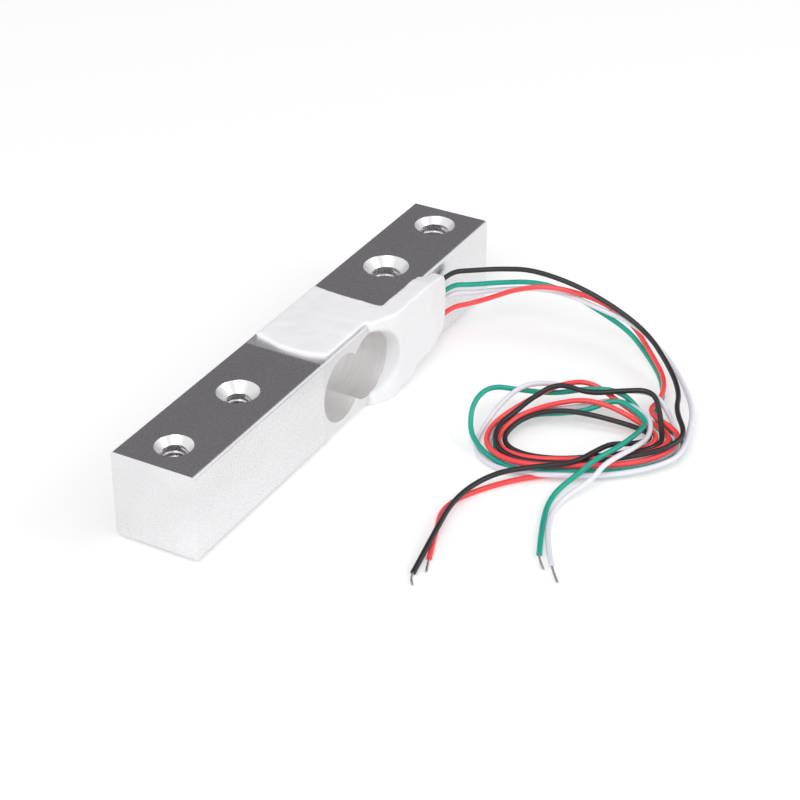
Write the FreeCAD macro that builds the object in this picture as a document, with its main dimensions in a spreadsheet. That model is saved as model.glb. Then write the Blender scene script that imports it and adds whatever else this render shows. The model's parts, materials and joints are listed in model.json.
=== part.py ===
import FreeCAD, Part
import math
import os
import Sketcher

# Single point load cell: a square aluminium bar with a twin-circle cut-out, tapped holes at both
# ends, strain gauges under a white silicone coat and four signal wires with bared ends.
# Frame: +X along the bar from the load end to the fixed end, +Y away from the wires' side, +Z up.
# The origin is on the underside, midway between the two fixed-end holes. Millimetres.

doc = FreeCAD.newDocument("LoadCell")
sheet = doc.addObject("Spreadsheet::Sheet", "Sizes")
V = FreeCAD.Vector

SIZES = [
    # bar
    ("bar_length", 80.0),
    ("bar_width", 12.7),
    ("bar_height", 12.7),
    ("edge_radius", 0.5),
    ("end_inset", 5.0),
    ("hole_pitch", 15.0),
    ("load_drill_radius", 1.65),
    ("fixed_drill_radius", 2.1),
    ("sink_radius_one", 2.6),
    ("sink_radius_two", 2.95),
    ("sink_radius_three", 3.35),
    ("sink_radius_four", 3.05),
    ("cut_radius", 5.0),
    ("cut_spacing", 7.1),
    ("ground_half_length", 8.7),
    ("ground_depth", 0.08),
    # gauges
    ("film_length", 5.6),
    ("film_width", 5.7),
    ("film_thickness", 0.06),
    ("film_front_overhang", 3.8),
    ("foil_thickness", 0.03),
    ("foil_line", 0.2),
    ("foil_pitch", 0.4),
    ("foil_leg", 3.0),
    ("foil_riser", 1.9),
    ("tab_length", 1.9),
    ("tab_width", 1.2),
    ("tab_offset", 1.45),
    ("tab_depth", 2.7),
    ("bead_radius", 0.4),
    ("bead_top_radius", 0.2),
    ("bead_height", 0.38),
    # terminal strip on the side face
    ("board_gap", 1.95),
    ("board_length", 10.2),
    ("board_bottom", 3.2),
    ("board_width", 7.9),
    ("board_thickness", 0.3),
    ("pad_pitch", 1.9),
    ("pad_width", 1.2),
    ("pad_inset", 0.4),
    ("pad_thickness", 0.05),
    ("lead_bead_radius", 0.55),
    ("lead_bead_top_radius", 0.3),
    ("lead_bead_height", 0.7),
    ("lead_bead_inset", 1.7),
    # fine enamelled wires
    ("fine_diameter", 0.18),
    ("fine_lift", 0.24),
    ("fine_level_gap", 0.3),
    ("fine_lane_pitch", 0.4),
    ("fine_lane_margin", 0.45),
    ("fine_crossing_run", 2.4),
    # silicone
    ("coat_thickness", 0.55),
    ("coat_back_inset", 0.5),
    ("blob_thickness", 2.3),
    ("cut_margin", 0.3),
    ("underside_coat", 0.5),
    # signal wires
    ("lead_diameter", 0.75),
    ("strand_diameter", 0.3),
    ("lead_lift", 0.4),
    ("root_end", -3.4),
    ("coil_height", 3.9),
]

for row, (alias, value) in enumerate(SIZES, start=1):
    sheet.set("A%d" % row, alias)
    sheet.set("B%d" % row, str(value))
    sheet.setAlias("B%d" % row, alias)
doc.recompute()


def size(alias):
    return float(getattr(sheet, alias))


def bind(obj, prop, text):
    """Bind a property to the sheet: words in the text are aliases."""
    obj.setExpression(prop, text)


def cell(alias):
    return "<<Sizes>>." + alias


sheet.Label = "Sizes"

LENGTH = size("bar_length")
WIDTH = size("bar_width")
HEIGHT = size("bar_height")
END_X = size("end_inset") + size("hole_pitch") / 2
START_X = END_X - LENGTH
MIDDLE_X = (START_X + END_X) / 2
FRONT_Y = -WIDTH / 2
GROUND_TOP = HEIGHT - size("ground_depth")
GROUND_BOTTOM = size("ground_depth")
CIRCLE_X = [MIDDLE_X - size("cut_spacing") / 2, MIDDLE_X + size("cut_spacing") / 2]

nodes = {}


def keep(name, obj):
    """Name a finished sub-part; its label is its file's name."""
    obj.Label = name
    nodes[name] = obj
    return obj


# --- sketch and path helpers ---------------------------------------------------------------------

def new_sketch(body, name, role, offset=0.0):
    plane = [item for item in body.Origin.OriginFeatures if item.Role == role][0]
    sketch = body.newObject("Sketcher::SketchObject", name)
    sketch.AttachmentSupport = [(plane, "")]
    sketch.MapMode = "FlatFace"
    sketch.AttachmentOffset = FreeCAD.Placement(V(0, 0, offset), FreeCAD.Rotation())
    return sketch


def add_outline(sketch, points):
    """A closed outline of straight lines, each joined to the next."""
    first = sketch.GeometryCount
    count = len(points)
    for index in range(count):
        start = V(points[index][0], points[index][1], 0)
        end = V(points[(index + 1) % count][0], points[(index + 1) % count][1], 0)
        sketch.addGeometry(Part.LineSegment(start, end), False)
    for index in range(count):
        following = first + (index + 1) % count
        sketch.addConstraint(Sketcher.Constraint("Coincident", first + index, 2, following, 1))
    return first


def add_box(sketch, low, high):
    first = add_outline(sketch, [low, (high[0], low[1]), high, (low[0], high[1])])
    for index, kind in enumerate(["Horizontal", "Vertical", "Horizontal", "Vertical"]):
        sketch.addConstraint(Sketcher.Constraint(kind, first + index))
    return first


def new_body(name):
    return doc.addObject("PartDesign::Body", name)


def pad(body, sketch, name, length, reversed_side=False):
    feature = body.newObject("PartDesign::Pad", name)
    feature.Profile = sketch
    bind(feature, "Length", length)
    feature.Reversed = reversed_side
    sketch.Visibility = False
    body.Tip = feature
    doc.recompute()
    return feature


def cut_through(body, sketch, name):
    feature = body.newObject("PartDesign::Pocket", name)
    feature.Profile = sketch
    feature.Type = "ThroughAll"
    feature.SideType = "Symmetric"
    body.Tip = feature
    doc.recompute()
    return feature


def sharp_path(points):
    """Straight runs that meet at sharp corners."""
    corners = [V(*point) for point in points]
    return Part.Wire([Part.LineSegment(start, end).toShape() for start, end in zip(corners, corners[1:])])


def rounded_path(points):
    """Straight runs joined by tangent arcs, each as large as its two runs allow: its radius is 0.45
    of the shorter run over the tangent of half the turn. Returns the wire and its radii."""
    corners = [V(*point) for point in points]
    edges = []
    radii = []
    at = corners[0]
    for before, corner, after in zip(corners, corners[1:], corners[2:]):
        run_in = before - corner
        run_out = after - corner
        shorter = min(run_in.Length, run_out.Length)
        run_in.normalize()
        run_out.normalize()
        turn = math.pi - run_in.getAngle(run_out)
        arc_radius = 0.45 * shorter / math.tan(turn / 2)
        setback = arc_radius * math.tan(turn / 2)
        start = corner + run_in * setback
        end = corner + run_out * setback
        towards = run_in + run_out
        towards.normalize()
        centre = corner + towards * (arc_radius / math.cos(turn / 2))
        middle = centre - towards * arc_radius
        edges.append(Part.LineSegment(at, start).toShape())
        edges.append(Part.Arc(start, middle, end).toShape())
        radii.append(arc_radius)
        at = end
    edges.append(Part.LineSegment(at, corners[-1]).toShape())
    return Part.Wire(edges), radii


def sweep_round(name, path_wire, diameter):
    """A round section swept along a path; the diameter is a name in the sheet."""
    path = doc.addObject("Part::Feature", name + "_path")
    path.Shape = path_wire
    start = path_wire.OrderedEdges[0]
    ring = doc.addObject("Part::Circle", name + "_section")
    bind(ring, "Radius", cell(diameter) + " / 2")
    ring.Placement = FreeCAD.Placement(
        start.firstVertex().Point, FreeCAD.Rotation(V(0, 0, 1), start.tangentAt(start.FirstParameter)))
    sweep = doc.addObject("Part::Sweep", name)
    sweep.Sections = [ring]
    sweep.Spine = (path, ["Edge%d" % (index + 1) for index in range(len(path_wire.Edges))])
    sweep.Solid = True
    sweep.Transition = "Right corner"
    doc.recompute()
    return sweep


def tube(name, points, diameter):
    """A free wire's tube: its volume is compared with its section times its length."""
    path_wire, radii = rounded_path(points)
    sweep = sweep_round(name, path_wire, diameter)
    section = math.pi * (size(diameter) / 2) ** 2
    share = sweep.Shape.Volume / (section * path_wire.Length)
    print("%-16s length %6.2f  volume / section x length %.4f  radii %s" %
          (name, path_wire.Length, share, " ".join("%.1f" % value for value in radii)))
    if abs(share - 1) > 0.01:
        raise RuntimeError(name + ": the tube's volume is not its section times its length")
    return sweep, path_wire.Length


def group(name, members):
    compound = doc.addObject("Part::Compound", name)
    compound.Links = members
    doc.recompute()
    return compound


def cut(name, base, tools):
    tool = tools[0] if len(tools) == 1 else group(name + "_tools", tools)
    result = doc.addObject("Part::Cut", name)
    result.Base = base
    result.Tool = tool
    doc.recompute()
    return result


# --- bar -----------------------------------------------------------------------------------------

def make_bar():
    body = new_body("BarBody")
    section = new_sketch(body, "BarSection", "YZ_Plane")
    first = add_box(section, (-WIDTH / 2, 0), (WIDTH / 2, HEIGHT))
    across = section.addConstraint(Sketcher.Constraint("DistanceX", first, 1, first, 2, WIDTH))
    upright = section.addConstraint(Sketcher.Constraint("DistanceY", first + 1, 1, first + 1, 2, HEIGHT))
    half = section.addConstraint(Sketcher.Constraint("DistanceX", -1, 1, first, 2, WIDTH / 2))
    section.addConstraint(Sketcher.Constraint("PointOnObject", first, 1, -1))
    section.setExpression("Constraints[%d]" % across, cell("bar_width"))
    section.setExpression("Constraints[%d]" % upright, cell("bar_height"))
    section.setExpression("Constraints[%d]" % half, cell("bar_width") + " / 2")
    bar = body.newObject("PartDesign::Pad", "BarLength")
    bar.Profile = section
    bar.SideType = "Two sides"
    bind(bar, "Length", "%s + %s / 2" % (cell("end_inset"), cell("hole_pitch")))
    bind(bar, "Length2", "%s - %s - %s / 2" % (cell("bar_length"), cell("end_inset"), cell("hole_pitch")))
    body.Tip = bar
    doc.recompute()

    long_edges = []
    for index, edge in enumerate(bar.Shape.Edges, start=1):
        if edge.BoundBox.XLength > LENGTH / 2:
            long_edges.append("Edge%d" % index)
    rounding = body.newObject("PartDesign::Fillet", "LongEdges")
    rounding.Base = (bar, long_edges)
    bind(rounding, "Radius", cell("edge_radius"))
    body.Tip = rounding
    doc.recompute()

    # the two gauge lands, ground a little below the rolled faces
    ground = new_sketch(body, "GroundLands", "XZ_Plane")
    half_land = size("ground_half_length")
    add_box(ground, (MIDDLE_X - half_land, GROUND_TOP), (MIDDLE_X + half_land, HEIGHT + 1))
    add_box(ground, (MIDDLE_X - half_land, -1), (MIDDLE_X + half_land, GROUND_BOTTOM))
    cut_through(body, ground, "GroundLandCuts")

    # twin-circle cut-out: two arcs that meet at the cusps
    twin = new_sketch(body, "TwinCircle", "XZ_Plane")
    radius = size("cut_radius")
    half_spacing = size("cut_spacing") / 2
    cusp_angle = math.acos(half_spacing / radius)
    height = HEIGHT / 2
    left = Part.Circle(V(CIRCLE_X[0], height, 0), V(0, 0, 1), radius)
    right = Part.Circle(V(CIRCLE_X[1], height, 0), V(0, 0, 1), radius)
    twin.addGeometry(Part.ArcOfCircle(left, cusp_angle, 2 * math.pi - cusp_angle), False)
    twin.addGeometry(Part.ArcOfCircle(right, math.pi + cusp_angle, 3 * math.pi - cusp_angle), False)
    twin.addConstraint(Sketcher.Constraint("Coincident", 0, 1, 1, 2))
    twin.addConstraint(Sketcher.Constraint("Coincident", 0, 2, 1, 1))
    twin.addConstraint(Sketcher.Constraint("Equal", 0, 1))
    cut_size = twin.addConstraint(Sketcher.Constraint("Radius", 0, radius))
    twin.setExpression("Constraints[%d]" % cut_size, cell("cut_radius"))
    cut_through(body, twin, "TwinCircleCut")

    # tapped holes, each with a countersink at both mouths, revolved about its own axis
    inset = size("end_inset")
    pitch = size("hole_pitch")
    holes = [
        ("One", START_X + inset, "load_drill_radius", "sink_radius_one"),
        ("Two", START_X + inset + pitch, "load_drill_radius", "sink_radius_two"),
        ("Three", END_X - inset - pitch, "fixed_drill_radius", "sink_radius_three"),
        ("Four", END_X - inset, "fixed_drill_radius", "sink_radius_four"),
    ]
    for name, at_x, drill, sink in holes:
        drill_radius = size(drill)
        sink_radius = size(sink)
        sink_depth = sink_radius - drill_radius
        beyond = 1.0
        profile = new_sketch(body, "Hole%sProfile" % name, "XZ_Plane")
        outline = [
            (0, -beyond), (sink_radius + beyond, -beyond), (drill_radius, sink_depth),
            (drill_radius, HEIGHT - sink_depth), (sink_radius + beyond, HEIGHT + beyond), (0, HEIGHT + beyond),
        ]
        first = add_outline(profile, [(at_x + x, z) for x, z in outline])
        for line, kind in ((0, "Horizontal"), (2, "Vertical"), (4, "Horizontal"), (5, "Vertical")):
            profile.addConstraint(Sketcher.Constraint(kind, first + line))
        groove = body.newObject("PartDesign::Groove", "TappedHole%s" % name)
        groove.Profile = profile
        groove.ReferenceAxis = (profile, ["Edge6"])
        groove.Angle = 360
        body.Tip = groove
        doc.recompute()
    return keep("bar_body", body)


# --- strain gauges -------------------------------------------------------------------------------

def foil_outline(centre_x):
    """Outline of a foil grid: a snake of parallel legs with a riser at each end."""
    half_leg = size("foil_leg") / 2
    riser = size("foil_riser")
    pitch = size("foil_pitch")
    legs = 7
    top = pitch * (legs - 1) / 2
    down = -size("tab_depth")
    line = [(-riser, down), (-riser, top)]
    for leg in range(legs):
        y = top - pitch * leg
        side = half_leg if leg % 2 == 0 else -half_leg
        if leg:
            line.append((-side, y))
        if leg < legs - 1:
            line.append((side, y))
    line += [(riser, -top), (riser, down)]
    half_line = size("foil_line") / 2
    left = []
    right = []
    for index, (x, y) in enumerate(line):
        before = line[max(index - 1, 0)]
        after = line[min(index + 1, len(line) - 1)]
        normals = []
        for start, end in ((before, (x, y)), ((x, y), after)):
            length = math.hypot(end[0] - start[0], end[1] - start[1])
            if length:
                normals.append((-(end[1] - start[1]) / length, (end[0] - start[0]) / length))
        shift_x = sum(normal[0] for normal in normals)
        shift_y = sum(normal[1] for normal in normals)
        left.append((centre_x + x + shift_x * half_line, y + shift_y * half_line))
        right.append((centre_x + x - shift_x * half_line, y - shift_y * half_line))
    return left + right[::-1]


def make_gauge(name, centre_x, surface_z, side):
    """A film-backed gauge; side is 1 on the top land and -1 on the underside."""
    thickness = size("film_thickness")
    film = doc.addObject("Part::Box", name + "_film_box")
    bind(film, "Length", cell("film_length"))
    bind(film, "Width", cell("film_width"))
    bind(film, "Height", cell("film_thickness"))
    low_z = surface_z if side > 0 else surface_z - thickness
    film.Placement.Base = V(centre_x - size("film_length") / 2, -size("film_front_overhang"), low_z)
    keep("gauge_film_" + name, film)

    body = new_body("Foil_" + name)
    foil_z = surface_z + side * thickness
    grid = new_sketch(body, "Grid_" + name, "XY_Plane", foil_z)
    add_outline(grid, foil_outline(centre_x))
    pad(body, grid, "GridPad_" + name, cell("foil_thickness"), side < 0)
    tabs = new_sketch(body, "Tabs_" + name, "XY_Plane", foil_z)
    for direction in (-1, 1):
        middle = centre_x + direction * size("tab_offset")
        half = size("tab_length") / 2
        low_y = -size("tab_depth") - size("tab_width") / 2
        add_box(tabs, (middle - half, low_y), (middle + half, low_y + size("tab_width")))
    pad(body, tabs, "TabPad_" + name, cell("foil_thickness"), side < 0)
    keep("gauge_foil_" + name, body)
    return film, body


# --- terminal strip ------------------------------------------------------------------------------

LEAD_NAMES = ["red", "white", "green", "black"]
BOARD_X = CIRCLE_X[1] + size("cut_radius") + size("board_gap")
BOARD_Y = FRONT_Y - size("board_thickness")
PAD_Y = BOARD_Y - size("pad_thickness")
LEAD_Y = PAD_Y - size("lead_lift")


def pad_z(name):
    lowest = size("board_bottom") + (size("board_width") - 3 * size("pad_pitch")) / 2
    return lowest + size("pad_pitch") * LEAD_NAMES.index(name)


def make_terminals():
    board = doc.addObject("Part::Box", "BoardBox")
    bind(board, "Length", cell("board_length"))
    bind(board, "Width", cell("board_thickness"))
    bind(board, "Height", cell("board_width"))
    board.Placement.Base = V(BOARD_X, BOARD_Y, size("board_bottom"))
    keep("terminal_board", board)
    pads = []
    for name in LEAD_NAMES:
        strip = doc.addObject("Part::Box", "Strip_" + name)
        bind(strip, "Length", "%s - 2 * %s" % (cell("board_length"), cell("pad_inset")))
        bind(strip, "Width", cell("pad_thickness"))
        bind(strip, "Height", cell("pad_width"))
        corner = V(BOARD_X + size("pad_inset"), PAD_Y, pad_z(name) - size("pad_width") / 2)
        strip.Placement.Base = corner
        pads.append(keep("terminal_pad_" + name, strip))
    return board, pads


def bead(name, kind, place, outward):
    """A solder bead: a short tapered block, its wide end at place. kind is its name in the sheet."""
    block = doc.addObject("Part::Wedge", name)
    for prop in ("Xmin", "Zmin"):
        bind(block, prop, "-" + cell(kind + "_radius"))
    for prop in ("Xmax", "Zmax"):
        bind(block, prop, cell(kind + "_radius"))
    for prop in ("X2min", "Z2min"):
        bind(block, prop, "-" + cell(kind + "_top_radius"))
    for prop in ("X2max", "Z2max"):
        bind(block, prop, cell(kind + "_top_radius"))
    block.Ymin = 0
    bind(block, "Ymax", cell(kind + "_height"))
    block.Placement = FreeCAD.Placement(V(*place), FreeCAD.Rotation(V(0, 1, 0), V(*outward)))
    return block


# --- fine enamelled wires ------------------------------------------------------------------------

FIRST_BEAD_X = BOARD_X + 1.1
SECOND_BEAD_X = BOARD_X + 2.6
LANE_X = CIRCLE_X[1] + size("cut_radius") + size("cut_margin") + size("fine_lane_margin")
SOLDER_LIFT = 0.2


def level_y(level):
    """Outward steps over the terminal strip, so that wires cross without touching."""
    return PAD_Y - SOLDER_LIFT - size("fine_level_gap") * level


def land_z(side):
    surface = GROUND_TOP if side > 0 else GROUND_BOTTOM
    return surface + side * size("fine_lift")


def tab_x(gauge, direction):
    return CIRCLE_X[gauge] + direction * size("tab_offset")


def fine_route(side, start_x, order, level, pad_name, bead_x):
    """From a gauge tab, along the land, over the edge, past the cut-out and onto a pad.
    order counts the lanes from the outermost; every lane keeps its distance from the next."""
    z = land_z(side)
    pitch = size("fine_lane_pitch")
    along_y = -size("tab_depth") - 2.6 + order * (pitch + 0.1)
    lane = LANE_X + order * pitch
    crossing = lane - size("fine_crossing_run")
    out = level_y(level)
    target = pad_z(pad_name)
    shoulder = HEIGHT / 2 + side * 3.25
    route = [
        (start_x, -size("tab_depth"), z), (start_x, along_y, z), (crossing, along_y, z), (crossing, out, z),
    ]
    if side * (shoulder - target) > 1:
        route.append((lane, out, shoulder))
    route.append((lane, out, target))
    if level:
        route.append((FIRST_BEAD_X + 0.8, out, target))
    route.append((bead_x, level_y(0), target))
    return route


def make_fine_wires():
    """Full bridge: each gauge joins two corners, and the two gauges of a face share one."""
    routes = {
        "fine_wire_top_red": fine_route(1, tab_x(0, -1), 0, 0, "red", FIRST_BEAD_X),
        "fine_wire_top_green": fine_route(1, tab_x(1, -1), 1, 0, "green", FIRST_BEAD_X),
        "fine_wire_top_black": fine_route(1, tab_x(1, 1), 2, 0, "black", FIRST_BEAD_X),
        "fine_wire_under_red": fine_route(-1, tab_x(0, -1), 0, 3, "red", SECOND_BEAD_X),
        "fine_wire_under_white": fine_route(-1, tab_x(1, -1), 1, 2, "white", SECOND_BEAD_X),
        "fine_wire_under_black": fine_route(-1, tab_x(1, 1), 2, 1, "black", SECOND_BEAD_X),
    }
    wires = []
    for name, route in routes.items():
        wires.append(keep(name, sweep_round(name + "_tube", sharp_path(route), "fine_diameter")))
    for name, side in (("top", 1), ("under", -1)):
        z = land_z(side)
        end = (tab_x(1, -1) - 0.15, -size("tab_depth") + 0.05, z)
        route = [(tab_x(0, 1), -size("tab_depth"), z), (MIDDLE_X, -size("tab_depth") - 0.5, z), end]
        link = sweep_round("Link_" + name, sharp_path(route), "fine_diameter")
        wires.append(keep("fine_link_" + name, link))
    return wires


# --- signal wires under the silicone -------------------------------------------------------------

EXIT_Z = {"black": 10.3, "green": 8.1, "white": 6.8, "red": 4.3}
LEAD_BEAD_X = BOARD_X + size("board_length") - size("lead_bead_inset")


def make_roots():
    """The buried end of each signal wire, bared where it is soldered to its pad."""
    roots = []
    for name in LEAD_NAMES:
        bared = [(LEAD_BEAD_X, LEAD_Y, pad_z(name)), (LEAD_BEAD_X + 1.2, LEAD_Y, pad_z(name))]
        strand = sweep_round("RootStrand_" + name, sharp_path(bared), "strand_diameter")
        start_x = LEAD_BEAD_X + 1.0
        covered = [
            (start_x, LEAD_Y, pad_z(name)), (start_x + 1.4, LEAD_Y, pad_z(name)),
            (size("root_end") - 1.4, LEAD_Y, EXIT_Z[name]), (size("root_end"), LEAD_Y, EXIT_Z[name]),
        ]
        if abs(EXIT_Z[name] - pad_z(name)) < 0.05:
            covered = [(start_x, LEAD_Y, pad_z(name)), (size("root_end"), LEAD_Y, pad_z(name))]
        sleeve = sweep_round("RootSleeve_" + name, sharp_path(covered), "lead_diameter")
        root = doc.addObject("Part::Fuse", "Root_" + name)
        root.Base = strand
        root.Tool = sleeve
        doc.recompute()
        roots.append(keep("lead_root_" + name, root))
    return roots


def make_solder(wires, roots):
    """Beads on the gauge tabs, on the pads' inner ends and where the signal wires are soldered."""
    tabs = []
    stack = size("film_thickness") + size("foil_thickness")
    for side, surface in ((1, GROUND_TOP), (-1, GROUND_BOTTOM)):
        for gauge in (0, 1):
            for direction in (-1, 1):
                place = (tab_x(gauge, direction), -size("tab_depth"), surface + side * stack)
                name = "TabBead%d" % (len(tabs) + 1)
                tabs.append(bead(name, "bead", place, (0, 0, side)))
    tab_solder = keep("gauge_solder", cut("TabSolder", group("TabBeads", tabs), wires))

    ends = [("red", FIRST_BEAD_X), ("red", SECOND_BEAD_X), ("white", SECOND_BEAD_X),
            ("green", FIRST_BEAD_X), ("black", FIRST_BEAD_X), ("black", SECOND_BEAD_X)]
    small = []
    for index, (name, x) in enumerate(ends, start=1):
        place = (x, PAD_Y, pad_z(name))
        small.append(bead("PadBead%d" % index, "bead", place, (0, -1, 0)))
    pad_solder = keep("terminal_solder", cut("PadSolder", group("PadBeads", small), wires))

    lead_solder = []
    for name, root in zip(LEAD_NAMES, roots):
        place = (LEAD_BEAD_X, PAD_Y, pad_z(name))
        cone = bead("LeadBead_" + name, "lead_bead", place, (0, -1, 0))
        lead_solder.append(keep("lead_solder_" + name, cut("LeadSolder_" + name, cone, [root])))
    return [tab_solder, pad_solder] + lead_solder


# --- silicone ------------------------------------------------------------------------------------

def rounded_outline(corners):
    """A closed flat outline of straight runs joined by tangent arcs. Each corner is a point and the
    radius of its arc, or 0 where it stays sharp."""
    points = [V(*point) for point, _radius in corners]
    count = len(points)
    ends = []
    arcs = []
    for index, (_point, radius) in enumerate(corners):
        corner = points[index]
        run_in = points[index - 1] - corner
        run_out = points[(index + 1) % count] - corner
        run_in.normalize()
        run_out.normalize()
        half_turn = (math.pi - run_in.getAngle(run_out)) / 2
        setback = radius * math.tan(half_turn)
        start = corner + run_in * setback
        end = corner + run_out * setback
        ends.append((start, end))
        if radius:
            towards = run_in + run_out
            towards.normalize()
            middle = corner + towards * (radius / math.cos(half_turn) - radius)
            arcs.append(Part.Arc(start, middle, end).toShape())
        else:
            arcs.append(None)
    edges = []
    for index in range(count):
        if arcs[index]:
            edges.append(arcs[index])
        edges.append(Part.LineSegment(ends[index][1], ends[(index + 1) % count][0]).toShape())
    return Part.Face(Part.Wire(edges))


def coat_slab(low_z, high_z, outer_z):
    """The coat over one gauge land: bowed ends, and rounded at its outer face."""
    half_land = size("ground_half_length")
    left = MIDDLE_X - half_land
    right = MIDDLE_X + half_land
    back = WIDTH / 2 - size("coat_back_inset")
    front = FRONT_Y + 0.4
    if outer_z > 0:
        outline = [((left + 2.4, back), 0), ((left + 0.9, 0.1 * back), 12.0), ((left + 1.0, 0.6 * front), 8.0),
                   ((left + 2.0, front), 0), ((right + 0.1, front), 0), ((right + 0.15, 0.3 * back), 30.0),
                   ((right + 0.7, back), 0)]
    else:
        outline = [((left + 2.0, back), 0), ((left + 1.2, 0), 12.0), ((left + 1.9, front), 0),
                   ((right - 0.2, front), 0), ((right - 0.1, 0.1 * back), 30.0), ((right - 0.8, back), 0)]
    face = rounded_outline([((x, y, low_z), radius) for (x, y), radius in outline])
    slab = face.extrude(V(0, 0, high_z - low_z))
    rim = [edge for edge in slab.Edges
           if abs(edge.BoundBox.ZMin - outer_z) < 1e-6 and abs(edge.BoundBox.ZMax - outer_z) < 1e-6]
    return slab.makeFillet(0.25, rim)


def blob_solid():
    """The thick run on the front face: its side outline passes round the cut-out, and its plan
    outline swells from the coat towards the wires."""
    top = GROUND_TOP + size("coat_thickness")
    bottom = -size("underside_coat")
    margin_radius = size("cut_radius") + size("cut_margin")
    x = CIRCLE_X[1]
    end = size("root_end") - 0.4
    foot = MIDDLE_X + size("ground_half_length")
    thick = size("blob_thickness")
    inner = FRONT_Y + 0.75
    deep = FRONT_Y - thick - 2
    outline = [
        ((x, top), 0), ((end - 6, top), 20.0), ((end - 0.4, top - 1.2), 1.4), ((end, HEIGHT / 2 + 1), 6.0),
        ((end - 0.6, 3.2), 1.2), ((end - 4, 2.0), 4.0), ((foot + 5.2, 1.7), 1.2), ((foot + 4.2, 0.45), 0.8),
        ((foot + 0.4, 0.3), 1.0), ((foot - 0.8, bottom), 0.6), ((x, bottom), 0),
    ]
    side_face = rounded_outline([((px, deep, pz), radius) for (px, pz), radius in outline])
    side_prism = side_face.extrude(V(0, inner - deep, 0))
    low = bottom - 1
    plan = [
        ((x - 0.8, inner + 1), 0), ((x - 0.8, FRONT_Y - 0.15), 0), ((x + 4.0, FRONT_Y - thick), 8.0),
        ((x + 14, FRONT_Y - thick), 12.0), ((end + 0.8, FRONT_Y - 0.72 * thick), 0), ((end + 0.8, inner + 1), 0),
    ]
    plan_face = rounded_outline([((px, py, low), radius) for (px, py), radius in plan])
    blob = side_prism.common(plan_face.extrude(V(0, 0, top - low + 1)))
    clearance = Part.makeCylinder(margin_radius, inner - deep, V(x, deep, HEIGHT / 2), V(0, 1, 0))
    return blob.cut(clearance)


def make_silicone(buried):
    """The coat, blob and underside coat as one casting. buried holds groups whose members are clear
    of each other, and the casting is cut by one group after another."""
    top = GROUND_TOP + size("coat_thickness")
    over = coat_slab(HEIGHT - 0.7, top, top)
    under = coat_slab(-size("underside_coat"), 0.7, -size("underside_coat"))
    blob = blob_solid()
    raw = doc.addObject("Part::Feature", "SiliconeRaw")
    raw.Shape = blob.fuse([over, under]).removeSplitter()
    casting = raw
    for index, members in enumerate(buried, start=1):
        casting = cut("Silicone%d" % index, casting, members)
    return keep("silicone_coat", casting)


# --- free signal wires and their coil ------------------------------------------------------------

FLOOR_Z = -size("underside_coat")
LYING_Z = FLOOR_Z + size("lead_diameter") / 2 + 0.025
STRAND_Z = FLOOR_Z + size("strand_diameter") / 2 + 0.01
COIL_CENTRE = V(-19.0, -37.0, FLOOR_Z)
COIL_ALONG = V(0.483, -0.876, 0)
COIL_ACROSS = V(0.876, 0.483, 0)

LEAD_ROUTES = {
    "black": [(2.1, -9.0, 9.8), (3.7, -13.0, 10.4), (4.8, -18.4, 11.1), (5.3, -27.0, 9.6),
              (5.6, -35.8, 5.6), (0.8, -41.9, 3.4), (-4.2, -45.6, 2.8), (-8.8, -46.9, 2.8)],
    "green": [(2.1, -9.0, 7.4), (4.8, -12.4, 7.4), (7.5, -17.1, 7.5), (7.7, -21.9, 7.2), (7.1, -28.0, 5.6),
              (7.5, -32.7, 3.3), (4.9, -36.8, 1.7), (1.2, -40.7, 0.8), (-3.6, -43.0, 0.3), (-8.6, -43.2, 0.3)],
    "white": [(2.1, -9.3, 6.1), (5.6, -13.1, 6.1), (7.1, -18.1, 6.8), (5.7, -23.7, 7.8), (4.8, -28.9, 7.4),
              (6.0, -33.8, 5.7), (5.3, -37.6, 3.9), (3.1, -41.3, 2.6), (-0.6, -45.0, 1.6), (-5.4, -48.2, 1.4),
              (-10.4, -49.8, 1.4)],
    "red": [(1.9, -9.1, 4.3), (2.8, -12.3, 5.8), (2.4, -16.3, 8.4), (3.8, -20.4, 9.4), (5.2, -24.6, 8.9),
            (7.7, -28.4, 6.8), (8.8, -32.6, 4.0), (4.0, -37.8, 2.6), (-0.3, -41.8, 1.9), (-5.4, -43.4, 1.7),
            (-9.4, -42.8, 1.7)],
}

TAIL_ROUTES = {
    "black": [(-29.6, -35.6, 1.9), (-33.2, -30.8, 1.4), (-40.4, -28.8, 1.1), (-49.0, -30.3, 0.95),
              (-56.3, -31.3, LYING_Z)],
    "red": [(-28.8, -36.0, 0.2), (-33.6, -31.2, LYING_Z), (-41.0, -27.4, LYING_Z), (-47.6, -29.8, LYING_Z),
            (-52.6, -31.6, LYING_Z)],
    "green": [(-27.4, -41.0, 1.4), (-32.2, -39.0, LYING_Z), (-39.0, -40.9, LYING_Z), (-45.0, -43.5, LYING_Z)],
    "white": [(-28.0, -43.2, 1.4), (-33.6, -40.4, LYING_Z), (-40.6, -42.2, LYING_Z), (-46.5, -46.0, LYING_Z)],
}

BARE_ENDS = {
    "black": (-58.3, -32.3, STRAND_Z),
    "red": (-55.0, -32.5, STRAND_Z),
    "green": (-47.4, -45.3, STRAND_Z),
    "white": (-49.0, -48.0, STRAND_Z),
}


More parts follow.
